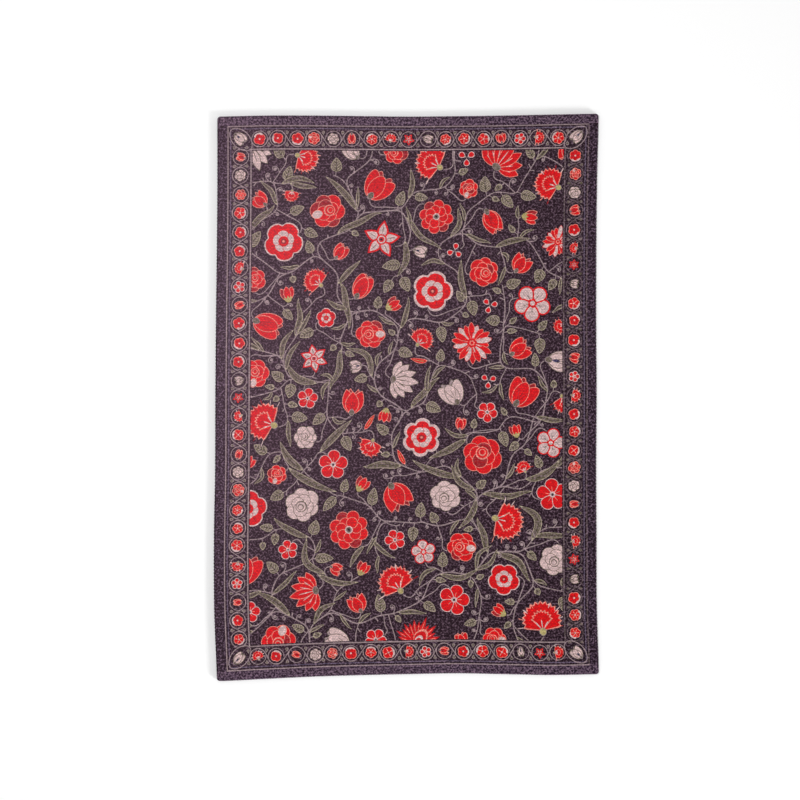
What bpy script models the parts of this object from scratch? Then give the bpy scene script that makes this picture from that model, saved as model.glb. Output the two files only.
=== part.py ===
# Hand woven cotton rug, lying flat, in metres with +Z up.
# The origin is at the middle of the underside. +Y runs along the rug and +X across it.

import math

import bmesh
import bpy

WIDTH = 0.605
LENGTH = 0.890
THICKNESS = 0.005

# The weave bulges by about a fifth of a millimetre where the cloth is slack.
SLACK = 0.0002
SLACK_PITCH = 0.21

CELLS_ACROSS = 12
CELLS_ALONG = 18

CORNER_RADIUS = 0.005
CORNER_STEPS = 3
RIM_RADIUS = 0.0018
RIM_STEPS = 2

# How far each edge stands out from the plain rectangle, in millimetres. The rows are evenly spaced:
# up the rug from its near end for the two selvedges, and from left to right for the two ends.
EDGE_STANDOFFS = [
    {"left": 0.0, "right": 4.6, "near": 11.8, "far": -1.0},
    {"left": 4.2, "right": 1.2, "near": 8.2, "far": 0.6},
    {"left": 4.7, "right": 0.7, "near": 4.6, "far": 0.6},
    {"left": 2.8, "right": 0.2, "near": 2.2, "far": -0.2},
    {"left": 2.4, "right": 0.9, "near": 0.6, "far": -1.0},
    {"left": 1.6, "right": 0.2, "near": -0.8, "far": -0.4},
    {"left": 0.2, "right": 0.4, "near": 0.6, "far": 0.6},
    {"left": -0.8, "right": 1.5, "near": 2.0, "far": 2.2},
    {"left": -0.8, "right": 4.2, "near": 0.8, "far": 3.6},
]


def edge_standoff(edge, fraction):
    """Standoff of an edge at a fraction of its run, on a smooth curve through its rows."""
    rows = len(EDGE_STANDOFFS)
    place = min(max(fraction, 0.0), 1.0) * (rows - 1)
    row = min(int(place), rows - 2)
    step = place - row
    before, start, end, after = (
        EDGE_STANDOFFS[min(max(row + shift, 0), rows - 1)][edge] for shift in (-1, 0, 1, 2)
    )
    bend = 2 * before - 5 * start + 4 * end - after
    twist = 3 * start - before - 3 * end + after
    curve = start + 0.5 * step * ((end - before) + step * (bend + step * twist))
    return curve / 1000


def cloth_point(across, along):
    """Where a point of the plain rectangle lies on the cloth, from its two fractions."""
    left = -WIDTH / 2 - edge_standoff("left", along)
    right = WIDTH / 2 + edge_standoff("right", along)
    near = -LENGTH / 2 - edge_standoff("near", across)
    far = LENGTH / 2 + edge_standoff("far", across)
    return left + (right - left) * across, near + (far - near) * along


def slack_height(x, y):
    """Height of the slack weave above its mean."""
    wave_across = math.sin(2 * math.pi * x / SLACK_PITCH + 0.8)
    wave_along = math.sin(2 * math.pi * (y + 0.4 * x) / (1.3 * SLACK_PITCH))
    return SLACK * wave_across * wave_along


def corner_uprights(bm):
    """The four upright edges, where a selvedge meets an end."""
    return [
        edge for edge in bm.edges
        if abs(edge.verts[0].co.z - edge.verts[1].co.z) > THICKNESS / 2
        and edge.calc_face_angle() > math.radians(60)
    ]


def rim_edges(bm):
    """The edges where the wall meets the top and the underside."""
    return [
        edge for edge in bm.edges
        if any(abs(face.normal.z) > 0.5 for face in edge.link_faces)
        and any(abs(face.normal.z) < 0.5 for face in edge.link_faces)
    ]


def flatten_underside(bm):
    """One plain face under the cloth, where it rests."""
    under = [face for face in bm.faces if face.normal.z < -0.99 and face.calc_center_median().z < 1e-6]
    bmesh.ops.dissolve_faces(bm, faces=under)


def move_to_origin(bm):
    """Centre the finished cloth on its own box, with its underside at zero."""
    for axis in (0, 1):
        values = [vert.co[axis] for vert in bm.verts]
        middle = (min(values) + max(values)) / 2
        for vert in bm.verts:
            vert.co[axis] -= middle


def make_cloth_mesh():
    """The woven cloth as one closed body."""
    bm = bmesh.new()
    bmesh.ops.create_grid(bm, x_segments=CELLS_ACROSS, y_segments=CELLS_ALONG, size=0.5)
    for vert in bm.verts:
        vert.co.x, vert.co.y = cloth_point(vert.co.x + 0.5, vert.co.y + 0.5)

    raised = bmesh.ops.extrude_face_region(bm, geom=bm.faces[:])["geom"]
    for vert in (item for item in raised if isinstance(item, bmesh.types.BMVert)):
        vert.co.z = THICKNESS - SLACK + slack_height(vert.co.x, vert.co.y)
    bmesh.ops.recalc_face_normals(bm, faces=bm.faces[:])

    bmesh.ops.bevel(
        bm, geom=corner_uprights(bm), offset=CORNER_RADIUS, segments=CORNER_STEPS,
        affect="EDGES", profile=0.5, material=-1,
    )
    bm.normal_update()
    bmesh.ops.bevel(
        bm, geom=rim_edges(bm), offset=RIM_RADIUS, segments=RIM_STEPS,
        affect="EDGES", profile=0.5, material=-1,
    )
    bm.normal_update()
    flatten_underside(bm)
    move_to_origin(bm)
    bmesh.ops.recalc_face_normals(bm, faces=bm.faces[:])

    mesh = bpy.data.meshes.new("rug")
    bm.to_mesh(mesh)
    bm.free()
    mesh.shade_smooth()
    mesh.set_sharp_from_angle(angle=math.radians(50))
    return mesh


def printed_cotton():
    """Charcoal cotton with a printed face, dull all over."""
    material = bpy.data.materials.new("printed_cotton")
    material.use_nodes = True
    shader = material.node_tree.nodes["Principled BSDF"]
    shader.inputs["Base Color"].default_value = (0.075, 0.050, 0.065, 1.0)
    shader.inputs["Roughness"].default_value = 0.9
    shader.inputs["Metallic"].default_value = 0.0
    return material


def build_rug():
    """The rug, as one object at the origin."""
    mesh = make_cloth_mesh()
    mesh.materials.append(printed_cotton())
    rug = bpy.data.objects.new("rug", mesh)
    bpy.context.scene.collection.objects.link(rug)


for leftover in list(bpy.data.objects):
    bpy.data.objects.remove(leftover, do_unlink=True)

build_rug()
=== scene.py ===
import math
import random
from functools import partial

import bmesh
import bpy
import numpy as np
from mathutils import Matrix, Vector
from mathutils.geometry import delaunay_2d_cdt
from numpy.linalg import norm


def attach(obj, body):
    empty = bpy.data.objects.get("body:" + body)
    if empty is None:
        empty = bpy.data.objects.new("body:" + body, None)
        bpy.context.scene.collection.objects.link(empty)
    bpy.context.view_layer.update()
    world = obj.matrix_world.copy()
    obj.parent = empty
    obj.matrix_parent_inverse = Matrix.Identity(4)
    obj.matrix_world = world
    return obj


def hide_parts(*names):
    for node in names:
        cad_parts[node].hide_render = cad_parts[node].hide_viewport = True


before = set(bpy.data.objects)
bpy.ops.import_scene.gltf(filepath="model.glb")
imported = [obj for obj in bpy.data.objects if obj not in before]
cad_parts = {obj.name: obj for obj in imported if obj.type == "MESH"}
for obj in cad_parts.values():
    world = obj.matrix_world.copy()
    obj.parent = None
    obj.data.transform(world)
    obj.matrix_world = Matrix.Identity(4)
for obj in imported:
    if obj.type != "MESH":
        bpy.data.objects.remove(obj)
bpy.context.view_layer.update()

mm = 0.001      # the cloth and its print are laid out in millimetres on the flat rectangle


# The cloth

# A thick cotton weft turns at the two selvedges, and the two ends are woven shut
cloth = {
    "width": 605,
    "length": 890,
    "thickness": 5.0,
    "slackHeight": 0.2,       # how far the weave bulges where it is slack
    "slackPitch": 210,
    "cornerRadius": 5.0,
    "pick": 2.55,             # one weft yarn, up the rug
    "float": 4.3,             # one weft float, across it
    "turnHeight": 0.55,       # how far each weft turn stands out of the selvedge
    "endHeight": 0.3,         # and each warp out of the woven ends
}
halfWidth = cloth["width"] / 2
halfLength = cloth["length"] / 2

# How far each edge stands out from the plain rectangle, at even places up or across it
edgeStandoffs = {
    "left": (0.0, 4.2, 4.7, 2.8, 2.4, 1.6, 0.2, -0.8, -0.8),
    "right": (4.6, 1.2, 0.7, 0.2, 0.9, 0.2, 0.4, 1.5, 4.2),
    "near": (11.8, 8.2, 4.6, 2.2, 0.6, -0.8, 0.6, 2.0, 0.8),
    "far": (-1.0, 0.6, 0.6, -0.2, -1.0, -0.4, 0.6, 2.2, 3.6),
}

# The rim from the top round to the underside: how far in from the edge, how high as a share of the
# thickness, and how much of the weft turns' swell it takes
rimRows = (
    (3.0, 1.0, 0.0), (1.5, 0.95, 0.6), (0.4, 0.76, 1.0), (0.0, 0.48, 1.0), (0.5, 0.2, 0.9), (1.7, 0.03, 0.4),
    (3.4, 0.0, 0.0),
)


def throughRows(rows, fraction):
    # a smooth curve through evenly spaced rows
    rows = np.array(rows)
    last = len(rows) - 1
    place = np.clip(fraction, 0, 1) * last
    row = np.minimum(place.astype(int), last - 1)
    step = place - row
    before, start, end, after = (rows[np.clip(row + shift, 0, last)] for shift in (-1, 0, 1, 2))
    bend = 2 * before - 5 * start + 4 * end - after
    twist = 3 * start - before - 3 * end + after
    return start + 0.5 * step * ((end - before) + step * (bend + step * twist))


def onCloth(flat):
    # where places on the plain rectangle come to lie on the real, uneven cloth
    across = flat[:, 0] / cloth["width"] + 0.5
    along = flat[:, 1] / cloth["length"] + 0.5
    left = -halfWidth - throughRows(edgeStandoffs["left"], along)
    right = halfWidth + throughRows(edgeStandoffs["right"], along)
    near = -halfLength - throughRows(edgeStandoffs["near"], across)
    far = halfLength + throughRows(edgeStandoffs["far"], across)
    return np.stack([left + (right - left) * across, near + (far - near) * along], 1)


def slackAt(places):
    waveAcross = np.sin(2 * math.pi * places[:, 0] / cloth["slackPitch"] + 0.8)
    waveAlong = np.sin(2 * math.pi * (places[:, 1] + 0.4 * places[:, 0]) / (1.3 * cloth["slackPitch"]))
    return cloth["slackHeight"] * waveAcross * waveAlong


# Shapes for the print, as arrays of points in millimetres

def polar(reach, angles):
    return np.stack([reach * np.cos(angles), reach * np.sin(angles)], 1)


def headingOf(way):
    return math.degrees(math.atan2(way[1], way[0]))


def disc(radius, steps=14):
    return polar(radius, np.arange(steps) * 2 * math.pi / steps)


def scallops(radius, lobes, depth, turn=0, steps=6):
    # a round outline of equal lobes, with its notches depth of the radius deep
    part = np.arange(lobes * steps) / steps
    angles = math.radians(turn) + part * 2 * math.pi / lobes
    return polar(radius * (1 - depth + depth * np.sin(math.pi * (part % 1)) ** 0.6), angles)


def petal(length, width, fullest=0.5, point=0.7, steps=8):
    # a petal or leaf from the origin up +Y, widest at fullest of its length, sharper as point grows
    along = (1 - np.cos(math.pi * np.arange(steps + 1) / steps)) / 2
    shift = math.log(0.5) / math.log(fullest)
    half = width / 2 * np.sin(math.pi * np.clip(along, 0, 1) ** shift).clip(0) ** point
    right = np.stack([half, along * length], 1)
    left = np.stack([-half, along * length], 1)[-2:0:-1]
    return np.concatenate([right, left])


def fan(radius, spread, teeth, depth, foot):
    # an open fan with a toothed rim, from its foot on the Y axis
    part = np.arange(2 * teeth + 1)
    angles = math.radians(90) + np.radians(spread) * (1 - part / teeth)
    rim = polar(radius * (1 - depth * (part % 2 == 0)), angles)
    return np.concatenate([[[0, foot]], rim])


def turned(points, degrees, x=0, y=0):
    cos, sin = math.cos(math.radians(degrees)), math.sin(math.radians(degrees))
    return points @ np.array([[cos, sin], [-sin, cos]]) + (x, y)


def shrunk(points, distance):
    # the same outline drawn a distance further in, or further out if it is negative
    ahead = np.roll(points, -1, 0) - points
    ahead /= norm(ahead, axis=1, keepdims=True) + 1e-9
    behind = np.roll(ahead, 1, 0)
    x, y = points.T
    area = np.sum(x * np.roll(y, -1) - y * np.roll(x, -1))
    inward = np.stack([-ahead[:, 1] - behind[:, 1], ahead[:, 0] + behind[:, 0]], 1) * math.copysign(1, area)
    size = np.sum(inward ** 2, 1, keepdims=True) / 2
    return points + inward * distance / np.maximum(size, 0.5)


def outlined(points, rim, fill, edge=1.2):
    return [(rim, points), (fill, shrunk(points, edge))]


def moved(shapes, degrees, x=0, y=0):
    return [(dye, turned(points, degrees, x, y)) for dye, points in shapes]


def rays(dye, count, inner, outer, width, start=0):
    # thin marks set round a centre
    mark = petal(outer - inner, width, 0.5, 0.5, 3) + (0, inner)
    return [(dye, turned(mark, start + 360 * ray / count)) for ray in range(count)]


def heartOf(radius, *rings):
    # discs that lie one over the other
    return [(dye, disc(radius * size, steps)) for dye, size, steps in rings]


# The flowers of the print. Each opens up +Y from its foot, in a circle of the given radius.

def ringOf(count, outline, rim, fill, edge=1.0, start=0):
    # the same petal set round the centre
    shapes = []
    for turn in range(count):
        shapes += outlined(turned(outline, start + 360 * turn / count), rim, fill, edge)
    return shapes


def nestedRosette(radius, chance):
    lobes = chance.choice((5, 5, 6))
    turn = 90 - 180 / lobes
    edge = chance.choice((0.84, 0.88, 0.93))
    rims = (("blush", 1), ("red", edge))
    shapes = [(dye, scallops(radius * size, lobes, 0.2, turn)) for dye, size in rims]
    shapes += rays("deepRed", lobes, radius * 0.5, radius * 0.8, 1.3)
    shapes += ringOf(lobes, petal(radius * 0.56, radius * 0.58, 0.62, 0.5), "red", "blush", 0.8, 180 / lobes)
    return shapes + heartOf(radius, ("red", 0.27, 10), ("deepRed", 0.15, 8), ("pink", 0.07, 6))


def edgedRosette(radius, chance):
    # pale petals with a red edge and dark veins
    shapes = ringOf(5, petal(radius, radius * 0.86, 0.62, 0.5), "red", "blush", max(1.6, radius * 0.08))
    mark = petal(radius * 0.42, radius * 0.3, 0.62, 0.6, 6) + (0, radius * 0.36)
    shapes += ringOf(5, mark, "bark", "blush", 0.8)
    shapes += rays("taupe", 5, radius * 0.2, radius * 0.6, 1.2)
    return shapes + [("red", scallops(radius * 0.26, 5, 0.2, 0, 4)), ("blush", disc(radius * 0.14, 8))]


def openRosette(radius, chance):
    # five round petals that stand apart
    shapes = ringOf(5, petal(radius, radius * 0.86, 0.64, 0.5), "blush", "red", 1.1)
    shapes += rays("pink", 5, radius * 0.15, radius * 0.5, 1.0)
    return shapes + heartOf(radius, ("blush", 0.19, 8), ("shade", 0.09, 6))


def starFlower(radius, chance):
    points = chance.choice((5, 5, 6))
    shapes = ringOf(points, petal(radius, radius * 0.6, 0.4, 0.95), "red", "blush", max(1.8, radius * 0.09))
    shapes += rays("taupe", points, radius * 0.3, radius * 0.72, 1.6)
    heart = (("red", 0.28, 10), ("blush", 0.21, 10), ("red", 0.14, 10), ("shade", 0.07, 10))
    return shapes + heartOf(radius, *heart)


def carnation(radius, chance):
    # a toothed fan in two layers, on a green cup
    foot = -radius * 0.5
    teeth = 15 if radius > 18 else 9
    slashes = (("blush", 2.4), ("blush", 1.5), ("pink", 1.4), ("deepRed", 2.0), ("deepRed", 1.2))
    shapes = [("pink", fan(radius, 118, teeth, 0.13, foot))]
    shapes.append(("red", fan(radius * 0.92, 116, teeth, 0.13, foot + 1)))
    for turn in range(-96, 97, 24):
        dye, width = chance.choice(slashes)
        outer = radius * chance.uniform(0.3, 0.5)
        slash = petal(outer, width, 0.6, 0.6, 4) + (0, radius * 1.02 - outer * 0.35)
        shapes.append((dye, turned(slash, turn * 0.98, 0, foot * 0.5)))
    for dye, size, spread, lift in (("pink", 0.56, 92, 0), ("red", 0.48, 88, 1.3)):
        shapes.append((dye, fan(radius * size, spread, max(teeth - 6, 5), 0.2, foot + lift)))
    ray = petal(radius * 0.55, 2.2, 0.75, 0.6, 4)
    shapes += [("blush", turned(ray, turn, 0, foot)) for turn in (-34, 2, 36)]
    cup = turned(petal(radius * 0.42, radius * 0.38, 0.5, 0.55, 5), 180, 0, foot + radius * 0.16)
    return shapes + outlined(cup, "bark", "khaki", 0.8)


def tulip(radius, chance, fill="red", edge="pink"):
    foot = -radius * 0.86
    spread = chance.choice((12, 18, 25))
    point = chance.choice((0.5, 0.62, 0.8))
    behind = "deepRed" if fill == "red" else "bark"
    shapes = []
    for turn, length, width, dye in (
        (-spread * 0.5, 1.74, 0.66, behind), (spread * 0.5, 1.74, 0.66, behind),
        (spread, 1.72, 0.92, fill), (-spread, 1.72, 0.92, fill), (spread * 0.15, 1.52, 0.94, fill),
    ):
        outline = turned(petal(radius * length, radius * width, 0.46, point), turn, 0, foot)
        shapes += outlined(outline, edge, dye, 1.0)
    line = "taupe" if fill == "blush" else "deepRed"
    for turn in (-spread, spread, 0):
        vein = petal(radius * chance.uniform(0.6, 1.05), 1.1, 0.5, 0.5, 4)
        shapes.append((line, turned(vein, turn * 0.9, 0, foot + radius * 0.25)))
    if fill == "blush" and chance.random() < 0.5:
        shapes.append(("navy", petal(radius * 0.5, radius * 0.2, 0.4, 0.8, 4) + (0, foot + radius * 0.35)))
    cup = petal(radius * 0.5, radius * 0.4, 0.5, 0.6, 4) + (0, foot - radius * 0.12)
    return shapes + outlined(cup, "bark", "taupe", 0.8)


def rose(radius, chance, fill="red", edge="pink"):
    # round petals heaped about an off-centre heart
    shapes = []
    start = chance.uniform(0, 60)
    lean = chance.uniform(0, 360)
    for ring, reach, size in ((6, 0.52, 0.48), (4, 0.27, 0.4)):
        for lobe in range(ring):
            turn = start + 360 * lobe / ring
            lobeSize = radius * size * chance.uniform(0.9, 1.08)
            outline = turned(disc(lobeSize, 14) + (0, radius * reach), turn)
            under = "deepRed" if fill == "red" and chance.random() < 0.14 else fill
            shapes += outlined(outline, edge, under, 0.9)
    heart = turned(np.array([[0, radius * 0.08]]), lean)[0]
    for size, dye in ((0.33, edge), (0.27, fill), (0.18, edge), (0.13, fill)):
        heart = heart + turned(np.array([[0, radius * 0.02]]), lean)[0]
        shapes.append((dye, disc(radius * size, 12) + heart))
    if fill == "red" and chance.random() < 0.6:
        slip = petal(radius * 0.66, radius * 0.5, 0.5, 0.5, 6) + (0, radius * 0.3)
        shapes += outlined(turned(slip, lean + 180), "pink", "blush", 0.9)
    return shapes


def lotus(radius, chance, fill="red", edge="pink"):
    foot = -radius * 0.66
    shapes = []
    inner = "blush" if fill == "red" else "taupe"
    for turn in (-74, 74, -50, 50, -25, 25, 0):
        length = radius * (1.56 - abs(turn) * 0.005)
        shapes += outlined(turned(petal(length, radius * 0.56, 0.52, 0.8), turn, 0, foot), edge, fill, 1.0)
        shapes.append((inner, turned(petal(length * 0.66, 1.7, 0.6, 0.6, 4), turn, 0, foot)))
    cup = petal(radius * 0.36, radius * 0.5, 0.5, 0.5, 5) + (0, foot - radius * 0.16)
    return shapes + outlined(cup, "bark", "taupe", 0.8)


def thistle(radius, chance):
    # a spray of narrow pointed petals over a ringed dome
    foot = -radius * 0.4
    shapes = []
    spokes = 17
    for order in range(spokes):
        spoke = order * 5 % spokes
        turn = -104 + 208 * spoke / (spokes - 1)
        length = radius * (1.34 if spoke % 2 else 1.14) * chance.uniform(0.92, 1.04)
        length *= 1 - abs(turn) * 0.0022
        outline = petal(length, radius * 0.3, 0.4, 0.9, 6)
        shapes += outlined(turned(outline, turn, 0, foot), "deepRed", "red", 0.8)
        vein = petal(length * 0.5, 1.1, 0.5, 0.5, 3) + (0, length * 0.35)
        shapes.append(("pink", turned(vein, turn, 0, foot)))
    for size, dye in ((0.42, "pink"), (0.36, "red"), (0.24, "blush"), (0.17, "red")):
        shapes.append((dye, petal(radius * size * 1.9, radius * size * 1.5, 0.42, 0.5, 6) + (0, foot)))
    cup = turned(petal(radius * 0.24, radius * 0.3, 0.5, 0.5, 4), 180, 0, foot + 1.5)
    return shapes + outlined(cup, "bark", "taupe", 0.8)


def aster(radius, chance):
    shapes = []
    for order in range(18):
        spoke = order * 7 % 18
        fill = "blush" if spoke % 3 == 0 else "red"
        outline = petal(radius * chance.uniform(0.8, 1.04), radius * 0.32, 0.66, 0.75, 6)
        shapes += outlined(turned(outline, spoke * 20), "red" if fill == "blush" else "pink", fill, 0.7)
    shapes += rays("blush", 7, radius * 0.1, radius * 0.5, 1.6, 10)
    heart = (("red", 0.24), ("pink", 0.13), ("red", 0.08))
    return shapes + [(dye, scallops(radius * size, 6, 0.2, 0, 3)) for dye, size in heart]


def dahlia(radius, chance):
    shapes = []
    for ring, reach, size in ((8, 0.66, 0.33), (7, 0.38, 0.29)):
        for lobe in range(ring):
            fill = "deepRed" if reach > 0.5 and lobe % 4 == 0 else "red"
            outline = turned(disc(radius * size, 12) + (0, radius * reach), 360 * lobe / ring)
            shapes += outlined(outline, "pink", fill, 0.9)
    return shapes + heartOf(radius, ("blush", 0.2, 9), ("taupe", 0.14, 9), ("shade", 0.07, 9))


def bud(radius, chance):
    foot = -radius * 0.8
    shapes = []
    for turn, fill in ((24, "deepRed"), (-24, "red"), (0, "red")):
        outline = turned(petal(radius * 1.8, radius * 0.96, 0.5, 0.7, 6), turn, 0, foot)
        shapes += outlined(outline, "pink", fill, 0.9)
    for turn in (-34, 34, 0):
        sepal = petal(radius * 0.85, radius * 0.36, 0.45, 0.8, 5)
        shapes.append(("khaki", turned(sepal, turn, 0, foot * 1.25)))
    return shapes


def sprig(radius, chance):
    outline = petal(radius * 0.9, radius * 0.8, 0.6, 0.5, 6) + (0, radius * 0.18)
    return rays("bark", 3, 0, radius * 0.5, 1.6) + ringOf(3, outline, "blush", "red", 1.1)


def bloomlet(radius, chance):
    # a plain red bloom for the border, with one pale petal turned up
    lobes = chance.choice((4, 5, 5, 6))
    shapes = outlined(scallops(radius, lobes, 0.16, 0, 5), "pink", "red", 0.8)
    lean = chance.uniform(0, 360)
    lip = petal(radius * 0.8, radius * 1.5, 0.5, 0.5, 6) + (0, radius * 0.22)
    shapes.append(("blush", turned(lip, lean)))
    shapes.append(("red", scallops(radius * 0.8, lobes, 0.16, 0, 5)))
    veins = chance.choice(("deepRed", "pink"))
    shapes += rays(veins, lobes, radius * 0.18, radius * 0.72, 1.5, chance.uniform(0, 60))
    return shapes + heartOf(radius, ("blush", 0.16, 7))


flowerKinds = {kind.__name__: kind for kind in (
    nestedRosette, edgedRosette, openRosette, starFlower, carnation, tulip, rose, lotus, thistle, aster,
    dahlia, bud, sprig, bloomlet,
)}
for kind in (tulip, rose, lotus):      # these also bloom pale
    flowerKinds["pale" + kind.__name__.capitalize()] = partial(kind, fill="blush", edge="taupe")


# The print, painted bottom to top: the vines with their leaves, the flowers, then the border

printed = []      # (dye, outline), the later ones over the earlier

# The ordered bands of the print, in millimetres in from the cloth's edge
bands = {
    "outerLine": 15.1,
    "roundels": 36.2,
    "innerLine": 51.7,
    "faintLine": 20.5,
    "shift": (1.05, -0.45),      # the print is not quite centred on the cloth
}

field = {
    "halfWidth": halfWidth - bands["innerLine"],
    "halfLength": halfLength - bands["innerLine"],
    "seed": 11,
    "vineWidth": 2.1,
    "stemWidth": 1.5,
    "clearance": 1.2,          # bare ground kept between neighbours
    "halo": 1.3,               # dark ground drawn round each flower
    "narrowest": 5,            # the least gap between two flowers that a vine runs through
    "overrun": 16,             # how far past the field's edge the vines run on
    "spur": 18,                # vines that end inside this margin are cut back
}

# Where the flowers stand in the field: kind, place, radius, and the way each one opens in degrees from +X
flowers = [
    ("paleLotus", -243, 380, 26, 288), ("carnation", -164, 378, 23, 340), ("paleTulip", -90, 388, 17, 138),
    ("tulip", -47, 334, 27, 52), ("rose", -20, 388, 20, 17), ("carnation", 38, 371, 27, 150),
    ("sprig", 93, 379, 13, 31), ("lotus", 153, 380, 32, 53), ("carnation", 227, 335, 26, 156),
    ("tulip", 252, 388, 20, 251), ("tulip", -236, 312, 16, 142), ("carnation", -185, 320, 12, 261),
    ("rose", -127, 294, 28, 242), ("dahlia", 46, 285, 28, 305), ("rose", 97, 329, 16, 82),
    ("tulip", 135, 277, 24, 300), ("bud", 195, 283, 13, 352), ("nestedRosette", -197, 246, 32, 203),
    ("tulip", -106, 229, 16, 53), ("starFlower", -41, 249, 31, 153), ("paleTulip", 21, 230, 13, 344),
    ("sprig", 76, 230, 12, 198), ("aster", 240, 243, 26, 138), ("rose", -244, 187, 20, 88),
    ("bud", -190, 162, 13, 102), ("carnation", -145, 183, 20, 140), ("tulip", -71, 174, 24, 61),
    ("nestedRosette", 41, 166, 33, 72), ("rose", 123, 197, 24, 23), ("tulip", 182, 209, 19, 54),
    ("tulip", -221, 114, 27, 338), ("nestedRosette", -128, 124, 16, 19), ("rose", -57, 98, 24, 17),
    ("bud", -22, 145, 13, 32), ("sprig", 132, 143, 12, 253), ("edgedRosette", 200, 146, 30, 339),
    ("carnation", 245, 109, 12, 212), ("rose", -241, 38, 23, 302), ("starFlower", -147, 60, 23, 99),
    ("paleTulip", -81, 47, 12, 193), ("carnation", 24, 89, 19, 51), ("aster", 104, 83, 34, 72),
    ("tulip", 180, 73, 20, 31), ("paleTulip", 245, 53, 27, 351), ("openRosette", -157, -3, 17, 295),
    ("tulip", -85, -9, 24, 83), ("paleLotus", -4, 24, 27, 351), ("paleTulip", 72, 4, 23, 119),
    ("openRosette", 128, -27, 17, 345), ("sprig", 130, 23, 12, 144), ("tulip", 184, 4, 27, 59),
    ("carnation", 251, -11, 19, 297), ("carnation", -225, -38, 30, 157), ("paleRose", -160, -65, 19, 151),
    ("carnation", -57, -80, 18, 247), ("bud", -34, -31, 12, 260), ("nestedRosette", 24, -67, 31, 145),
    ("tulip", 86, -46, 12, 80), ("bud", 173, -57, 11, 105), ("edgedRosette", 229, -76, 24, 289),
    ("bud", -252, -102, 13, 54), ("rose", -205, -123, 16, 197), ("openRosette", -116, -109, 24, 301),
    ("bud", -70, -141, 13, 57), ("rose", 120, -96, 32, 328), ("carnation", 186, -116, 12, 117),
    ("nestedRosette", -249, -175, 30, 300), ("paleRose", -164, -172, 28, 335),
    ("tulip", -14, -161, 27, 299), ("paleRose", 62, -162, 25, 90), ("carnation", 157, -201, 30, 343),
    ("openRosette", 232, -158, 26, 23), ("openRosette", -186, -242, 16, 245),
    ("dahlia", -90, -213, 32, 118), ("openRosette", -17, -230, 17, 255), ("edgedRosette", 28, -250, 20, 98),
    ("rose", 88, -243, 24, 19), ("paleRose", 236, -262, 26, 248), ("tulip", -252, -270, 28, 72),
    ("lotus", -160, -312, 28, 193), ("tulip", -110, -275, 12, 333), ("tulip", -77, -330, 18, 113),
    ("bud", -68, -275, 12, 62), ("carnation", -16, -298, 28, 120), ("openRosette", 76, -327, 25, 289),
    ("nestedRosette", 155, -293, 26, 196), ("openRosette", -247, -338, 17, 79),
    ("rose", -203, -386, 28, 147), ("paleTulip", -111, -387, 23, 156), ("openRosette", -50, -388, 18, 203),
    ("thistle", 22, -385, 34, 54), ("tulip", 86, -389, 12, 104), ("rose", 138, -388, 19, 349),
    ("bud", 147, -344, 12, 146), ("carnation", 214, -358, 32, 94),
]


def paint(dye, points):
    printed.append((dye, points))


def paintAll(shapes, halo=0.0):
    # a dark halo keeps a motif clear of what lies under it
    if halo:
        for dye, points in shapes:
            if np.ptp(points, 0).max() > 7:
                paint("shade", shrunk(points, -halo))
    for dye, points in shapes:
        paint(dye, points)


def smoothed(path, step=4.0, passes=3):
    # even steps along a path, with its corners eased
    path = np.array(path, float)
    lengths = np.concatenate([[0], np.cumsum(norm(np.diff(path, axis=0), axis=1))])
    count = max(int(lengths[-1] / step), 3)
    marks = np.linspace(0, lengths[-1], count + 1)
    path = np.stack([np.interp(marks, lengths, path[:, axis]) for axis in (0, 1)], 1)
    for _ in range(passes):
        path[1:-1] = 0.5 * path[1:-1] + 0.25 * (path[:-2] + path[2:])
    return path


def sides(path, halfWidths):
    # the two edges of a stroke
    ahead = np.gradient(path, axis=0)
    ahead /= norm(ahead, axis=1, keepdims=True) + 1e-9
    across = np.stack([-ahead[:, 1], ahead[:, 0]], 1) * halfWidths[:, None]
    return path + across, path - across


def ribbon(path, halfWidths):
    left, right = sides(path, halfWidths)
    return np.concatenate([left, right[::-1]])


def stroke(dye, path, startWidth, endWidth=None, chunk=8):
    # a drawn line, in chunks that may cross each other
    endWidth = startWidth if endWidth is None else endWidth
    left, right = sides(path, np.linspace(startWidth, endWidth, len(path)) / 2)
    shapes = []
    for start in range(0, len(path) - 1, chunk):
        end = min(start + chunk, len(path) - 1) + 1
        shapes.append((dye, np.concatenate([left[start:end], right[start:end][::-1]])))
    return shapes


def bladeOn(path, width, dyesUsed=("sage", "taupe", "shade")):
    # a long leaf along a path, with a light edge and a dark midline
    part = np.linspace(0, 1, len(path))
    half = width / 2 * np.sin(math.pi * part ** 0.8) ** 0.8 + 0.05
    inner = max(1 - 2.0 / width, 0.4)
    shapes = []
    for dye, share, start, end in zip(dyesUsed, (1, inner, 0.9 / width), (0, 0.06, 0.12), (1, 0.94, 0.86)):
        kept = (part >= start) & (part <= end)
        shapes.append((dye, ribbon(path[kept], half[kept] * share)))
    return shapes


def leafOn(path, width):
    # an oval leaf along a short path, with light veins in pairs
    part = np.linspace(0, 1, len(path))
    half = width / 2 * np.sin(math.pi * part ** 0.68) ** 0.72 + 0.05
    shapes = outlined(ribbon(path, half), "sage", "taupe", 0.95)
    heading = headingOf(path[-1] - path[0]) - 90
    pairs = max(int(norm(path[-1] - path[0]) / 5), 2)
    for pair in range(pairs):
        place = 0.1 + 0.6 * pair / (pairs - 1)
        spot = [np.interp(place, part, path[:, axis]) for axis in (0, 1)]
        reach = np.interp(min(place + 0.14, 1), part, half) * 1.15
        for side in (-50, 50):
            shapes.append(("sage", turned(petal(reach, 1.0, 0.4, 0.5, 3), heading + side, *spot)))
    return shapes + stroke("shade", path[1:-1], 0.95, 0.5, 99)


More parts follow.
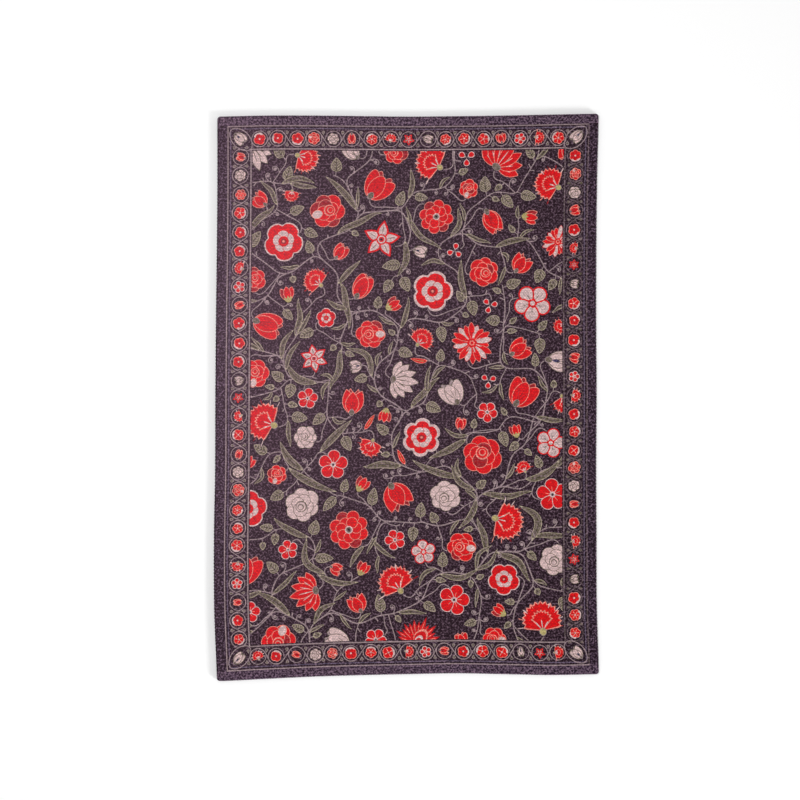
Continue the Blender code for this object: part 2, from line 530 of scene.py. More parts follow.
def arcPath(start, heading, length, bend, steps, swing=0.0, late=1.0):
    # a path that leaves start at a heading and turns by bend degrees, with an S of swing degrees
    points = [start]
    for step in range(steps):
        part = (step + 0.5) / steps
        angle = math.radians(heading + bend * part ** late + swing * math.sin(2 * math.pi * part))
        points.append(points[-1] + np.array([math.cos(angle), math.sin(angle)]) * length / steps)
    return np.array(points)


# How much bare ground lies round each place in the field

roomStep = 2.5
roomMargin = 20
roomX, roomY = (
    np.arange(-half - roomMargin, half + roomMargin, roomStep)
    for half in (field["halfWidth"], field["halfLength"])
)
room = np.full((len(roomX), len(roomY)), 60.0)
openRoom = room.copy()      # the same without the vines and stems, which a long blade may cross


def take(x, y, radius, grids=(room, openRoom), reach=45):
    # a disc of ground is no longer bare, which is noted as far as reach round it
    span = radius + reach
    columns = slice(*np.searchsorted(roomX, (x - span, x + span)))
    rows = slice(*np.searchsorted(roomY, (y - span, y + span)))
    distance = np.hypot(roomX[columns, None] - x, roomY[None, rows] - y) - radius
    for grid in grids:
        np.minimum(grid[columns, rows], distance, out=grid[columns, rows])


def roomAt(x, y, grid=room):
    column = int(round((x - roomX[0]) / roomStep))
    row = int(round((y - roomY[0]) / roomStep))
    if 0 <= column < len(roomX) and 0 <= row < len(roomY):
        return grid[column, row]
    return -1


def gapBetween(three):
    # the place that is equally clear of three flowers
    spot = np.mean([centre for centre, _ in three], axis=0)
    for _ in range(40):
        clear = [norm(spot - centre) - radius for centre, radius in three]
        mean = sum(clear) / 3
        for (centre, radius), distance in zip(three, clear):
            away = (spot - centre) / (norm(spot - centre) + 1e-9)
            spot = spot + away * (mean - distance) * 0.3
    return spot


def growVines(chance):
    # The vines wander between the flowers, on a tree that joins the gaps by the widest gates. Stand-ins
    # round the field make them run off its edge.
    circles = [(np.array([x, y], float), radius) for _, x, y, radius, _ in flowers]
    ghosts = {"outside": 55, "pitch": 78, "radius": 20}
    spanX = field["halfWidth"] + ghosts["outside"]
    spanY = field["halfLength"] + ghosts["outside"]
    for span, atEnds in ((spanX, True), (spanY, False)):
        count = int(2 * span / ghosts["pitch"])
        for place in range(count):
            part = 2 * (place + 0.5 + chance.uniform(-0.2, 0.2)) / count - 1
            for side in (-1, 1):
                spot = (spanX * part, spanY * side) if atEnds else (spanX * side, spanY * part)
                circles.append((np.array(spot), ghosts["radius"]))
    found = delaunay_2d_cdt([Vector(centre) for centre, _ in circles], [], [], 0, 0.001)
    owner = [originals[0] for originals in found[3]]
    gaps = []
    gates = {}
    for face in found[2]:
        three = [owner[corner] for corner in face]
        spot = gapBetween([circles[index] for index in three])
        if inField(spot[None], field["overrun"]):
            for side in range(3):
                pair = frozenset((three[side], three[side - 1]))
                gates.setdefault(pair, []).append(len(gaps))
            gaps.append((spot, three))
    links = []
    for pair, ends in gates.items():
        if len(ends) == 2:
            (centreA, radiusA), (centreB, radiusB) = (circles[index] for index in sorted(pair))
            apart = norm(centreB - centreA)
            width = apart - radiusA - radiusB
            gate = centreA + (centreB - centreA) * (radiusA + width / 2) / apart
            links.append((-width + chance.uniform(0, 8), ends[0], ends[1], gate))
    links.sort(key=lambda link: link[0])
    group = list(range(len(gaps)))
    tree = {index: [] for index in range(len(gaps))}
    for cost, first, second, gate in links:
        if cost < -field["narrowest"] and group[first] != group[second]:
            old, new = group[first], group[second]
            group = [new if member == old else member for member in group]
            tree[first].append((second, gate))
            tree[second].append((first, gate))
    for tip in [index for index, ways in tree.items() if len(ways) == 1]:      # short spurs go
        if inField(gaps[tip][0][None], -field["spur"]) and tree[tip]:
            joint = tree[tip].pop()[0]
            tree[joint] = [way for way in tree[joint] if way[0] != tip]
    return gaps, tree


def traceVines(gaps, tree):
    # each vine runs on the straightest way through the tree, and the others branch off it
    def turnFrom(path, way):
        return -np.dot(path[-1] - path[-2], way[1] - path[-1]) / norm(way[1] - path[-1])

    paths = []
    reached = set()
    for root in sorted(tree, key=lambda index: gaps[index][0][1]):
        if root in reached:
            continue
        reached.add(root)
        waiting = [(root, [gaps[root][0]])]
        while waiting:
            node, path = waiting.pop()
            while True:
                ways = [way for way in tree[node] if way[0] not in reached]
                if not ways:
                    break
                if len(path) > 1:
                    ways.sort(key=partial(turnFrom, path))
                for way in ways[1:]:
                    reached.add(way[0])
                    lead = [path[-2]] if len(path) > 1 else []
                    waiting.append((way[0], lead + [path[-1], way[1], gaps[way[0]][0]]))
                node = ways[0][0]
                reached.add(node)
                path = path + [ways[0][1], gaps[node][0]]
            if len(path) > 2:
                paths.append(smoothed(path, 4.0, 10))
    return paths


def stemTo(flower, index, gaps, vinePoints):
    # a flower's stem leaves the nearest vine and curls round the flower to its foot
    _, x, y, radius, facing = flower
    centre = np.array([x, y], float)
    footAngle = facing + 180
    best = None
    for spot, three in gaps:
        if index in three:
            start = vinePoints[np.argmin(norm(vinePoints - spot, axis=1))]
            startAngle = headingOf(start - centre)
            sweep = (footAngle - startAngle + 180) % 360 - 180
            cost = abs(abs(sweep) - 75) + norm(start - spot)
            if best is None or cost < best[0]:
                best = (cost, start, startAngle, sweep)
    if best is None:
        return None
    _, start, startAngle, sweep = best
    startReach = norm(start - centre)
    middleReach = radius + 7.0
    steps = max(int(abs(sweep) / 9), 5)
    path = []
    for step in range(steps + 1):
        part = step / steps
        reach = middleReach + (startReach - middleReach) * max(0, 1 - part / 0.45) ** 2
        reach -= (middleReach - radius * 0.8) * max(0, (part - 0.7) / 0.3) ** 2
        angle = math.radians(startAngle + sweep * part)
        path.append(centre + reach * np.array([math.cos(angle), math.sin(angle)]))
    return smoothed(path, 3.2, 1)


# What grows from the vines, in the order it is drawn: the longest first, and the small ones in what room is
# left. Each row is its kind, the most that grow, the ranges of length, width and lean, and how far it bends.
growth = (
    ("longBlade", 34, (58, 90), (8.5, 12), (18, 50), 75),
    ("redBlade", 4, (24, 30), (7, 9), (20, 60), 15),
    ("leaf", 90, (23, 29), (15, 18), (35, 85), 22),
    ("blade", 30, (36, 56), (6.4, 8.8), (10, 45), 60),
    ("leaf", 80, (18, 24), (12, 15), (30, 85), 25),
    ("curl", 50, (22, 30), (2.4, 3.0), (25, 60), 330),
    ("blade", 50, (20, 34), (5.0, 6.6), (15, 60), 60),
    ("leaf", 60, (12, 17), (8.5, 11), (30, 85), 25),
    ("curl", 50, (13, 19), (1.7, 2.2), (30, 70), 300),
    ("thorn", 70, (5, 8), (1.8, 2.4), (35, 60), 30),
)


def growAlong(stems, chance):
    roots = []
    for path in stems:
        for before, spot, after in zip(path, path[1:], path[2:]):
            roots.append((spot, headingOf(after - before)))
    shapes = []
    for kind, most, lengths, widths, leans, bends in growth:
        grown = 0
        for _ in range(60 * most):
            if grown == most:
                break
            root, heading = chance.choice(roots)
            side = chance.choice((-1, 1))
            length = chance.uniform(*lengths)
            width = chance.uniform(*widths)
            angle = heading + side * chance.uniform(*leans)
            stalk = {"leaf": 6.0, "redBlade": 4.0}.get(kind, 0.5)
            bend = side * bends if kind == "curl" else chance.uniform(-1, 1) * bends
            swing = chance.uniform(-26, 26) if "lade" in kind else 0
            path = arcPath(root, angle, length + stalk, bend, 12, swing, 2.4 if kind == "curl" else 1)
            marks, shares, grid = (5, 7, 9, 12), (0.5, 0.5, 0.4, 0.08), room
            if kind == "curl":
                shares = (0.4, 0.8, 1.2, 1)
            elif kind == "longBlade":
                marks, shares, grid = (2, 4, 6, 8, 10, 12), (0.3, 0.5, 0.5, 0.45, 0.3, 0.1), openRoom
            needs = [width * share + field["clearance"] for share in shares]
            if any(roomAt(*path[mark], grid) < need for mark, need in zip(marks, needs)):
                continue
            grown += 1
            if kind == "curl":
                shapes.append(stroke("bark", path, 1.6, 1.0, 99) + [("bark", disc(width, 8) + path[-1])])
            elif kind == "thorn":
                shapes.append(stroke("bark", path[::3], 1.0, width, 99))
            else:
                lines = smoothed(path, (length + stalk) / 14, 0)
                first = int(round(14 * stalk / (length + stalk)))
                stem = stroke("bark", lines[:first + 2], 1.3, 1.2, 99) if first else []
                if kind == "leaf":
                    shapes.append(stem + leafOn(lines[first:], width))
                elif kind == "redBlade":
                    shapes.append(stem + bladeOn(lines[first:], width, ("pink", "red", "khaki")))
                else:
                    shapes.append(bladeOn(lines, width))
            for spot, share in zip(path[3:], (0.3, 0.42, 0.48, 0.5, 0.5, 0.46, 0.38, 0.28, 0.16, 0.05)):
                take(*spot, width * share)
        print(f"{kind}: {grown} grown")
    return shapes


def inField(points, margin=0.0):
    return (np.abs(points[:, 0]).min() < field["halfWidth"] + margin
            and np.abs(points[:, 1]).min() < field["halfLength"] + margin)


def frameAt(inset):
    # a rectangle round the cloth, with points enough to follow its uneven edges
    x, y = halfWidth - inset, halfLength - inset
    return smoothed([(-x, -y), (x, -y), (x, y), (-x, y), (-x, -y)], 15.0, 0)[:-1]


def printField():
    chance = random.Random(field["seed"])
    paint("ground", frameAt(bands["outerLine"] + 1))
    for _, x, y, radius, _ in flowers:
        take(x, y, radius + 1.0)
    gaps, tree = growVines(chance)
    vines = traceVines(gaps, tree)
    vinePoints = np.concatenate(vines)
    stems = [stemTo(flower, index, gaps, vinePoints) for index, flower in enumerate(flowers)]
    stems = [stem for stem in stems if stem is not None]
    for path in vines + stems:
        for spot in path:
            take(*spot, 0.8, (room,))
    for path in vines:
        paintAll(stroke("bark", path, field["vineWidth"], field["stemWidth"]))
        for joint in path[3:-3:3]:
            paint("shade", disc(0.7, 4) + joint)
    for path in stems:
        paintAll(stroke("bark", path, field["stemWidth"]))
    for shapes in growAlong(vines + stems, chance):
        if inField(shapes[0][1]):
            paintAll(shapes)
    for kind, x, y, radius, facing in flowers:
        shapes = flowerKinds[kind](radius, chance)
        paintAll(moved(shapes, facing - 90, x, y), field["halo"])
    print(f"field: {len(vines)} vines, {len(stems)} stems")


def printLine(inset, width, dye):
    # straight lines round the cloth, with points enough to follow its uneven edges
    x, y = halfWidth - inset, halfLength - inset
    for side in (-1, 1):
        upright = np.stack([np.full(61, side * x), np.linspace(-y - width / 2, y + width / 2, 61)], 1)
        level = np.stack([np.linspace(-x, x, 41), np.full(41, side * y)], 1)
        # on the right side the bark lines take the darker dye: painted shade
        uprightDye = "barkInPaintedShade" if side > 0 and dye == "bark" else dye
        paintAll(stroke(dye, level, width) + stroke(uprightDye, upright, width))


# The border's run of small flowers, repeated along each side
roundel = {
    "seed": 5,
    "radius": 12.9,
    "flower": 9.4,
    "sizes": (0.92, 1.08),        # the least and the greatest share of it
    "wander": 1.8,                # how far each stands off its even place
    "drop": (7.5, 5.5),           # a small leaf between two rounds
    "dropLevel": 5,
    "cornerLoop": (44, 27),
    "cornerFlower": 13,
    "across": 17,                 # how many stand along each short side, and along each long one
    "along": 27,
    "run": ("bloomlet", "tulip", "bloomlet", "carnation", "paleRose", "bloomlet", "openRosette", "bloomlet",
            "starFlower", "tulip", "bloomlet", "carnation", "bloomlet", "paleTulip", "bloomlet", "rose"),
}


def ringPath(centre, radius, startAngle, sweep, steps):
    return centre + polar(radius, np.radians(startAngle + sweep * np.arange(steps + 1) / steps))


def borderSide(count, length, offset, turn, first, chance):
    # one side, laid out along +X with the rug's edge up +Y, then turned into place
    radius = roundel["radius"]
    wave = []
    shapes = []
    small = []
    for place in range(count):
        x = length * ((place + 1) / (count + 1) - 0.5) + chance.uniform(-roundel["wander"], roundel["wander"])
        out = 1 if place % 2 else -1
        centre = np.array([x, offset + out * 0.5])
        wave.append(ringPath(centre, radius, 158 * out, -136 * out, 9))
        tendril = ringPath(centre, radius - 0.4, 22 * out, -205 * out, 14)
        shapes += stroke("bark", tendril, 1.3, 1.0)
        kind = roundel["run"][(place * 5 + first) % len(roundel["run"])]
        flower = flowerKinds[kind](roundel["flower"] * chance.uniform(*roundel["sizes"]), chance)
        small.append(moved(flower, chance.choice((0, 90, 180, 270)) + chance.uniform(-20, 20), *centre))
        half = length / (count + 1) / 2
        for level in (roundel["dropLevel"], -roundel["dropLevel"]):
            drop = petal(*roundel["drop"], 0.75, 0.6, 5)
            drop = turned(drop, 0 if level > 0 else 180, x + half, offset + level)
            shapes += outlined(drop, "bark", "taupe", 0.8)
    path = smoothed(np.concatenate(wave), 3.0, 2)
    shapes += stroke("bark", path, 1.4)
    for shape in small:
        shapes += shape
    return moved(shapes, turn)


def printBorder():
    chance = random.Random(roundel["seed"])
    inner = bands["innerLine"]
    outer = bands["outerLine"] + 1
    x, y = halfWidth - outer - 1, halfLength - outer - 1
    for side in (-1, 1):      # the border's ground covers what runs off the field
        innerX, innerY = side * field["halfWidth"], side * field["halfLength"]
        paint("ground", np.array([(-x, side * y), (-x, innerY), (x, innerY), (x, side * y)]))
        upright = np.array([(side * x, -y), (innerX, -y), (innerX, y), (side * x, y)])
        # the right side's border ground is painted in the dark shade dye: painted shade where the light falls
        # off
        paint("shade" if side > 0 else "ground", upright)
    lines = (
        (outer + 1.9, 1.8, "shade"), (outer, 1.6, "bark"), (bands["faintLine"], 1.3, "lilac"),
        (inner - 0.7, 1.6, "shade"), (inner + 2.8, 1.6, "shade"), (inner + 1, 1.9, "bark"),
    )
    for inset, width, dye in lines:
        printLine(inset, width, dye)
    cornerX = halfWidth - bands["roundels"]
    cornerY = halfLength - bands["roundels"]
    sideRuns = (
        (roundel["across"], 2 * cornerX, cornerY, 0, 0), (roundel["across"], 2 * cornerX, cornerY, 180, 3),
        (roundel["along"], 2 * cornerY, cornerX, 90, 7), (roundel["along"], 2 * cornerY, cornerX, -90, 10),
    )
    for count, length, offset, turn, first in sideRuns:
        shapes = borderSide(count, length, offset, turn, first, chance)
        # the right side's bark takes the darker dye: painted shade
        paintAll([("barkInPaintedShade" if turn == -90 and dye == "bark" else dye, points) for dye, points in shapes])
    for sideX, sideY in ((-1, -1), (-1, 1), (1, -1), (1, 1)):
        turn = headingOf((-sideX, -sideY)) - 90
        loop = petal(*roundel["cornerLoop"], 0.5, 0.5, 12)
        loop = turned(loop, turn, sideX * (cornerX + 15), sideY * (cornerY + 15))
        paintAll(stroke("bark", np.concatenate([loop, loop[:1]]), 1.4, 1.4, 99))
        corner = flowerKinds["paleTulip"](roundel["cornerFlower"], chance)
        paintAll(moved(corner, turn, sideX * (cornerX + 1), sideY * (cornerY + 1)))
    printed[:] = [(dye, points + bands["shift"]) for dye, points in printed]


# The dyes, as printed, in sRGB
dyes = {
    "margin": "271C2D",        # first, as it also dyes the rim and the back
    "ground": "1F0E19",
    "shade": "150D13",
    "lilac": "63566A",
    "red": "CE0E08",
    "deepRed": "961A1A",
    "pink": "DE8A7C",
    "blush": "CBAFAD",
    "bark": "968385",
    "barkInPaintedShade": "66565A",         # the bark again, painted darker up the right side as painted shade where less light falls
    "sage": "A69984",
    "taupe": "6A5F54",
    "khaki": "A89A66",
    "navy": "363A58",
}


def linear(code):
    values = [int(code[place:place + 2], 16) / 255 for place in (0, 2, 4)]
    return [value / 12.92 if value <= 0.04045 else ((value + 0.055) / 1.055) ** 2.4 for value in values]


# The rug's mesh

def rimOutline():
    # one place every quarter of a yarn, round the rectangle with its corners rounded, with what swells there
    radius = cloth["cornerRadius"]
    corners = ((1, -1), (1, 1), (-1, 1), (-1, -1), (1, -1))
    ways = ((1, 0), (0, 1), (-1, 0), (0, -1), (1, 0))
    places = []
    for corner in range(4):
        selvedge = corner % 2 == 0
        (cornerX, cornerY), (nextX, nextY) = corners[corner:corner + 2]
        outward, forward = ways[corner:corner + 2]
        length = 2 * (halfLength if selvedge else halfWidth) - 2 * radius
        turns = round(length / (2 * cloth["pick"] if selvedge else cloth["float"]))
        steps = turns * 4
        for step in range(steps):
            part = step / steps
            run = radius + length * part
            place = (cornerX * halfWidth + forward[0] * run, cornerY * halfLength + forward[1] * run)
            lobe = abs(math.sin(math.pi * turns * part)) ** 0.7 - 0.6
            ease = min(1, 12 * min(part, 1 - part))
            swell = lobe * ease * cloth["turnHeight" if selvedge else "endHeight"]
            places.append((place, outward, swell))
        centre = (nextX * (halfWidth - radius), nextY * (halfLength - radius))
        for step in range(8):
            angle = math.atan2(outward[1], outward[0]) + math.pi / 2 * step / 8
            way = (math.cos(angle), math.sin(angle))
            places.append(((centre[0] + radius * way[0], centre[1] + radius * way[1]), way, 0.0))
    return places


def rimRow(places, inset, level, share):
    # one row of the rim: flat places, and heights
    flat, ways, swell = (np.array(part) for part in zip(*places))
    swell = swell * share
    height = cloth["thickness"] * level + swell * 0.5 * (level - 0.3)
    return flat + ways * (swell - inset)[:, None], np.maximum(height, 0)


def partings(faces, dye):
    # the triangle edges that part one dye from another
    ends = np.sort(np.concatenate([faces[:, [0, 1]], faces[:, [1, 2]], faces[:, [2, 0]]]), axis=1)
    owner = np.tile(dye, 3)
    order = np.lexsort((ends[:, 1], ends[:, 0]))
    ends, owner = ends[order], owner[order]
    same = (ends[1:] == ends[:-1]).all(axis=1)
    return ends[1:][same & (owner[1:] != owner[:-1])]


def eased(places, links, tolerance, passes=6):
    # leaves out points that lie almost on the line between their two neighbours
    rank = np.random.default_rng(1).permutation(len(places))
    for _ in range(passes):
        ends = np.concatenate([links, links[:, ::-1]])
        ends = ends[np.argsort(ends[:, 0], kind="stable")]
        degree = np.bincount(ends[:, 0], minlength=len(places))
        first = np.cumsum(degree) - degree
        middle = np.nonzero(degree == 2)[0]
        before, after = ends[first[middle], 1], ends[first[middle] + 1, 1]
        run, arm = places[after] - places[before], places[middle] - places[before]
        off = np.abs(run[:, 0] * arm[:, 1] - run[:, 1] * arm[:, 0]) / (norm(run, axis=1) + 1e-9)
        level = np.full(len(places), -1)
        spare = (off < tolerance) & (before != after) & (norm(run, axis=1) < 25)
        level[middle] = np.where(spare, rank[middle], -1)
        loose = (level[middle] > level[before]) & (level[middle] > level[after])
        gone = np.zeros(len(places), bool)
        gone[middle[loose]] = True
        kept = links[~gone[links].any(axis=1)]
        links = np.concatenate([kept, np.stack([before[loose], after[loose]], 1)])
    return links


def divide(places, links):
    found = delaunay_2d_cdt([Vector(place) for place in places.tolist()], links.tolist(), [], 0, 0.004)
    return np.array([tuple(place) for place in found[0]]), np.array(found[2])


def divideTop(rim):
    # No bmesh operator cuts a face by thousands of outlines, so Blender's own constrained triangulation
    # divides the top: once along every outline, to see which dye lies where, and then only along the lines
    # that show.
    rimOrder = np.arange(len(rim))
    rimLinks = np.stack([rimOrder, np.roll(rimOrder, -1)], 1)
    places, links = [rim], [rimLinks]
    count = len(rim)
    for _, outline in printed:
        order = np.arange(len(outline)) + count
        places.append(outline)
        links.append(np.stack([order, np.roll(order, -1)], 1))
        count += len(outline)
    print(f"print: {len(printed)} outlines, {count} points")
    places, faces = divide(np.concatenate(places), np.concatenate(links))
    lines = eased(places, partings(faces, dyeOf(places, faces)), tolerance=0.07)

    used, lines = np.unique(lines, return_inverse=True)
    inset, spacing = 9, 15      # a loose grid of points, so that the bare ground follows the slack cloth
    across, along = (np.arange(inset - half, half - inset + 1, spacing) for half in (halfWidth, halfLength))
    spread = np.stack(np.meshgrid(across, along), -1).reshape(-1, 2)
    places = np.concatenate([rim, places[used], spread])
    return divide(places, np.concatenate([rimLinks, lines.reshape(-1, 2) + len(rim)]))


def dyeOf(places, faces):
    # the last printed outline round each triangle's middle gives its dye
    names = list(dyes)
    middles = places[faces].mean(axis=1)
    order = np.argsort(middles[:, 1])
    middles = middles[order]
    dye = np.full(len(faces), names.index("margin"))
    for name, outline in printed:
        low, high = outline.min(0), outline.max(0)
        first, last = np.searchsorted(middles[:, 1], (low[1], high[1]))
        near = np.nonzero((middles[first:last, 0] > low[0]) & (middles[first:last, 0] < high[0]))[0] + first
        x, y = middles[near].T[:, :, None]
        startX, startY = outline.T[:, None]
        endX, endY = np.roll(outline, -1, 0).T[:, None]
        crosses = (startY > y) != (endY > y)
        rise = np.where(endY == startY, 1, endY - startY)
        inside = np.sum(crosses & (x < startX + (y - startY) * (endX - startX) / rise), 1) % 2 == 1
        dye[order[near[inside]]] = names.index(name)
    return dye


def makeRug():
    places = rimOutline()
    rows = [rimRow(places, *row) for row in rimRows]
    flat, faces = divideTop(rows[0][0])
    dye = dyeOf(flat, faces)
    print(f"top: {len(faces)} triangles")

    centre = onCloth(rows[3][0])
    centre = (centre.min(0) + centre.max(0)) / 2

    bm = bmesh.new()
    flatLayer = bm.verts.layers.float_vector.new("flatCloth")
    dyeLayer = bm.faces.layers.int.new("dyeIndex")
    rimLayer = bm.verts.layers.int.new("rimPlace")
    onRim = {tuple(np.round(place, 3)): index for index, place in enumerate(rows[0][0])}
    onTop = onCloth(flat) - centre
    height = cloth["thickness"] - cloth["slackHeight"] + slackAt(onTop)
    verts = []
    for place, spot, lift in zip(flat, onTop, height):
        vert = bm.verts.new((spot[0] * mm, spot[1] * mm, lift * mm))
        vert[flatLayer] = (place[0], place[1], 0)
        vert[rimLayer] = onRim.get(tuple(np.round(place, 3)), -1)
        verts.append(vert)
    for face, index in zip(faces.tolist(), dye.tolist()):
        bm.faces.new([verts[corner] for corner in face])[dyeLayer] = index
    bmesh.ops.recalc_face_normals(bm, faces=bm.faces[:])
    if sum(face.normal.z for face in list(bm.faces)[:200]) < 0:
        bmesh.ops.reverse_faces(bm, faces=bm.faces[:])

    loop = [edge for edge in bm.edges if edge.is_boundary]
    print(f"rim: {len(loop)} edges round the top, {len(places)} laid out")
    arc = 0.0
    for (inset, level, _), (nextInset, nextLevel, _), (edge, lift) in zip(rimRows, rimRows[1:], rows[1:]):
        made = bmesh.ops.extrude_edge_only(bm, edges=loop)["geom"]
        arc += math.hypot(nextInset - inset, (nextLevel - level) * cloth["thickness"])
        spots = onCloth(edge) - centre
        for vert in (item for item in made if isinstance(item, bmesh.types.BMVert)):
            index = vert[rimLayer]
            vert.co = (spots[index][0] * mm, spots[index][1] * mm, lift[index] * mm)
            vert[flatLayer] = (*(rows[0][0][index] + np.array(places[index][1]) * arc), 0)
        loop = [item for item in made if isinstance(item, bmesh.types.BMEdge) and item.is_boundary]
        for face in (item for item in made if isinstance(item, bmesh.types.BMFace)):
            face[dyeLayer] = 0
    back = bmesh.ops.edgeloop_fill(bm, edges=loop)["faces"]
    for face in bm.faces:
        face.smooth = True
    for face in back:
        face.smooth = False
        face[dyeLayer] = 0
    if back and back[0].normal.z > 0:
        bmesh.ops.reverse_faces(bm, faces=back)

    mesh = bpy.data.meshes.new("wovenRug")
    bm.to_mesh(mesh)
    bm.free()
    return mesh


def readAll(items, name, width=1, kind=float):
    values = np.zeros(len(items) * width, kind)
    items.foreach_get(name, values)
    return values.reshape(-1, width) if width > 1 else values


def finishMesh(mesh):
    # colours for the material, and a map that gives the face most of its area
    dye = readAll(mesh.attributes["dyeIndex"].data, "value", kind=int)
    corners = readAll(mesh.polygons, "loop_total", kind=int)
    palette = np.array([linear(code) + [1.0] for code in dyes.values()])
    colours = mesh.color_attributes.new("dye", "FLOAT_COLOR", "CORNER")
    colours.data.foreach_set("color", np.repeat(palette[dye], corners, axis=0).ravel())

    flat = readAll(mesh.attributes["flatCloth"].data, "vector", 3)
    flat = flat[readAll(mesh.loops, "vertex_index", kind=int)]
    under = (readAll(mesh.polygons, "normal", 3)[:, 2] < -0.9) & (corners > 4)
    margin = 14       # room for the rim round the plain rectangle
    share = 0.93      # the back has a strip of its own beside the rest
    across = (flat[:, 0] + halfWidth + margin) / (cloth["width"] + 2 * margin)
    along = (flat[:, 1] + halfLength + margin) / (cloth["length"] + 2 * margin)
    across = np.where(np.repeat(under, corners), share + 0.01 + across * (0.98 - share), across * share)
    layer = mesh.uv_layers.new(name="OFBake")
    layer.data.foreach_set("uv", np.stack([across, along], 1).ravel())


# Materials

def addNode(tree, kind, inputs=(), output=0, **settings):
    # one node with its settings, its values and links by name or in the order of its sockets, and one output
    node = tree.nodes.new("ShaderNode" + kind)
    for name, value in settings.items():
        setattr(node, name, value)
    for socket, value in inputs.items() if isinstance(inputs, dict) else enumerate(inputs):
        if isinstance(value, bpy.types.NodeSocket):
            tree.links.new(value, node.inputs[socket])
        else:
            node.inputs[socket].default_value = value
    return node.outputs[output]


def newMaterial(name, values):
    material = bpy.data.materials.new(name)
    material.use_nodes = True
    shader = material.node_tree.nodes["Principled BSDF"]
    for socket, value in values.items():
        shader.inputs[socket].default_value = value
    return material, shader


def printedCotton():
    # Cotton flatweave, pigment printed. The print lies on the crowns of the weft and misses the dips between
    # them, so the eye sees dull colour broken by specks of undyed cotton, and the dips are darkened further
    # by painted shade. The light that comes back through the dyed fibres is tinted.
    material, shader = newMaterial("pigmentPrintedCotton", {
        "Roughness": 0.4, "Specular IOR Level": 0.24, "Specular Tint": (1.0, 0.6, 0.78, 1.0),
    })
    add = partial(addNode, material.node_tree)
    place = add("Attribute", output="Vector", attribute_name="flatCloth")
    dye = add("Attribute", output="Color", attribute_name="dye")

    # yarns wander by up to half a millimetre
    wander = add("TexNoise", {"Vector": place, "Scale": 0.09, "Detail": 3.0}, "Color")
    centred = add("VectorMath", (wander, (0.5, 0.5, 0.5)), operation="SUBTRACT")
    shift = add("VectorMath", {0: centred, "Scale": 2.2}, operation="SCALE")
    yarns = add("VectorMath", (place, shift), operation="ADD")

    dips = add("TexBrick", {
        "Vector": yarns, "Color1": (0, 0, 0, 1), "Color2": (1, 1, 1, 1), "Mortar": (0.5, 0.5, 0.5, 1),
        "Scale": 1.0, "Brick Width": cloth["float"], "Row Height": cloth["pick"], "Mortar Size": 0.62,
        "Mortar Smooth": 1.0,
    }, "Fac", offset=0.5, offset_frequency=2)
    tint = dips.node.outputs["Color"]

    # Each float takes the dye a little differently. A Map Range's values are in the order of its sockets:
    # the value, from min, from max, to min and to max.
    uneven = add("MapRange", (tint, 0, 1, 0.8, 1.2))
    # painted shade: the dye is darkened in the dips between the crowns
    paintedDipShade = add("MapRange", (dips, 0, 1, 1.12, 0.6))
    cloud = add("TexNoise", {"Vector": yarns, "Scale": 0.34, "Detail": 2.0, "Roughness": 0.6}, "Fac")
    cloudy = add("MapRange", (cloud, 0.33, 0.67, 0.75, 1.22))
    mottled = add("Math", (uneven, cloudy), operation="MULTIPLY")
    # depth holds the uneven dye and the painted shade of the dips
    depth = add("Math", (mottled, paintedDipShade), operation="MULTIPLY")
    tinted = add("VectorMath", {0: dye, "Scale": depth}, operation="SCALE")

    # Raw cotton shows in flecks of two or three millimetres through the thin dark ground, and hardly at all
    # through the thick light and red pigments
    flecks = add("TexNoise", {"Vector": yarns, "Scale": 0.3, "Detail": 2.0, "Roughness": 0.65}, "Fac")
    bare = add("Math", (dips, 0.12, flecks), operation="MULTIPLY_ADD")
    missed = add("MapRange", (bare, 0.46, 0.72, -0.14, 0.25))
    pigment = add("SeparateXYZ", (dye,), "X")
    thin = add("MapRange", (pigment, 0.04, 0.4, 1.0, 0.08))
    share = add("Math", (missed, thin), operation="MULTIPLY")

    # the plain margins at the two ends are printed a little more thinly
    outward = add("Math", (add("SeparateXYZ", (place,), "Y"),), operation="ABSOLUTE")
    endLine = halfLength - bands["outerLine"]
    ends = add("MapRange", (outward, endLine - 1, endLine + 1, 0.0, 0.1))
    share = add("Math", (share, ends), operation="ADD")
    washed = linear("C8A5BC")      # cotton that took only a wash of the plum ground
    cotton = add("VectorMath", {0: washed, "Scale": share}, operation="SCALE")
    flecked = add("VectorMath", (tinted, cotton), operation="ADD")
    colour = add("VectorMath", (flecked, (0.005, 0.002, 0.004)), operation="MAXIMUM")

    # fibres, a third of a millimetre thick, drawn out along the weft
    fibrePlace = add("Mapping", {"Vector": yarns, "Scale": (0.5, 2.4, 1.0)})
    fibres = add("TexNoise", {"Vector": fibrePlace, "Scale": 1.2, "Detail": 2.0}, "Fac")
    crown = add("Math", (1.0, dips), operation="SUBTRACT")
    height = add("Math", (fibres, 0.35, crown), operation="MULTIPLY_ADD")
    bump = add("Bump", {"Strength": 0.2, "Distance": 0.4 * mm, "Height": height})

    material.node_tree.links.new(colour, shader.inputs["Base Color"])
    material.node_tree.links.new(bump, shader.inputs["Normal"])
    return material


def paperFloor():
    # matt white paper sweep
    values = {"Base Color": linear("FFFFFF") + [1], "Roughness": 0.95, "Specular IOR Level": 0.1}
    return newMaterial("mattPaper", values)[0]


# The studio

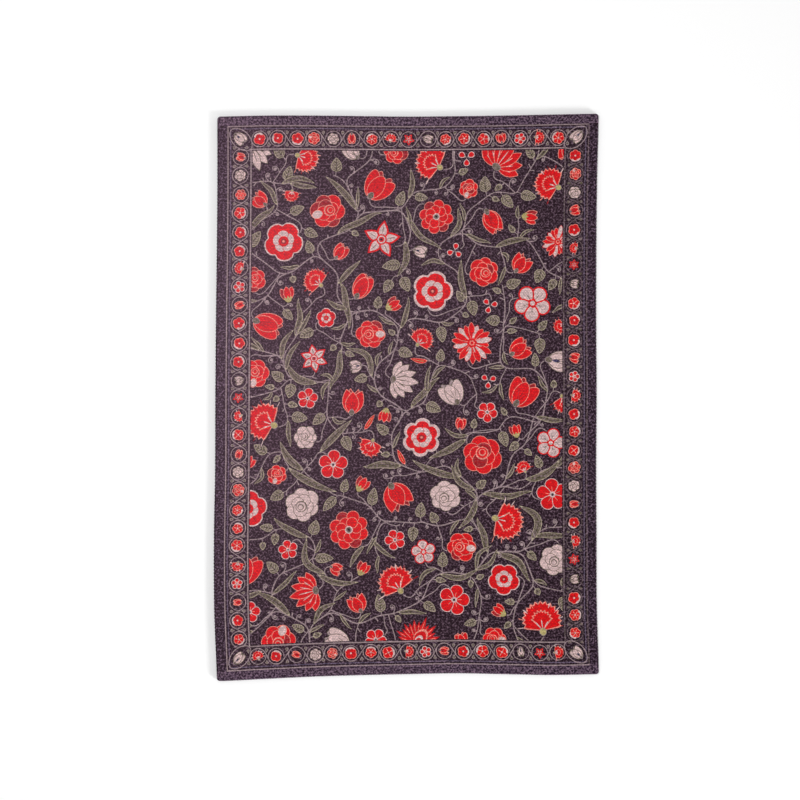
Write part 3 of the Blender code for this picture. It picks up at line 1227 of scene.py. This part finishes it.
studio = {
    "metresAcross": 1.2755,         # what the camera's frame spans on the floor
    "aim": (-0.0099, -0.0042),
    "lens": 100,
    "lights": (
        {"name": "key", "place": (-0.68, 0.3, 2.6), "size": 0.5, "watts": 35, "glossy": True},
        # it draws the soft shadow round the rug, and would glare on the cloth from low down
        {"name": "low", "place": (4.4, -3.2, 1.5), "size": 1.0, "watts": 250, "glossy": False},
    ),
    "room": (1.33, 0.02),           # how bright the pale room is at the horizon, and overhead
}


def makeStudio():
    scene = bpy.context.scene
    bpy.ops.mesh.primitive_plane_add(size=8, location=(0, 0, -0.0004))
    floor = bpy.context.object
    floor.name = "floor"
    floor.data.materials.append(paperFloor())

    camera = bpy.data.cameras.new("camera")
    camera.lens = studio["lens"]
    height = studio["metresAcross"] * camera.lens / camera.sensor_width
    camera.clip_end = 50
    eye = bpy.data.objects.new("camera", camera)
    eye.location = (*studio["aim"], height + cloth["thickness"] * mm)
    scene.collection.objects.link(eye)
    scene.camera = eye

    for light in studio["lights"]:
        data = bpy.data.lights.new(light["name"], "AREA")
        data.size = light["size"]
        data.energy = light["watts"]
        lamp = bpy.data.objects.new(light["name"], data)
        lamp.location = light["place"]
        lamp.visible_glossy = light["glossy"]
        lamp.rotation_euler = (-Vector(light["place"])).to_track_quat("-Z", "Y").to_euler()
        scene.collection.objects.link(lamp)

    world = bpy.data.worlds.new("studio")
    world.use_nodes = True
    way = addNode(world.node_tree, "TexCoord", output="Generated")
    up = addNode(world.node_tree, "SeparateXYZ", (way,), "Z")
    glow = addNode(world.node_tree, "MapRange", (up, 0, 1, *studio["room"]), interpolation_type="SMOOTHSTEP")
    background = world.node_tree.nodes["Background"]
    background.inputs["Color"].default_value = (1, 1, 1, 1)
    world.node_tree.links.new(glow, background.inputs["Strength"])
    scene.world = world
    scene.view_settings.view_transform = "Standard"


printField()
printBorder()
mesh = makeRug()
finishMesh(mesh)
mesh.materials.append(printedCotton())
rug = bpy.data.objects.new("wovenRug", mesh)
bpy.context.scene.collection.objects.link(rug)
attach(rug, "root")
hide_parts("rug")
print(f"rug: {len(mesh.polygons)} faces")

makeStudio()
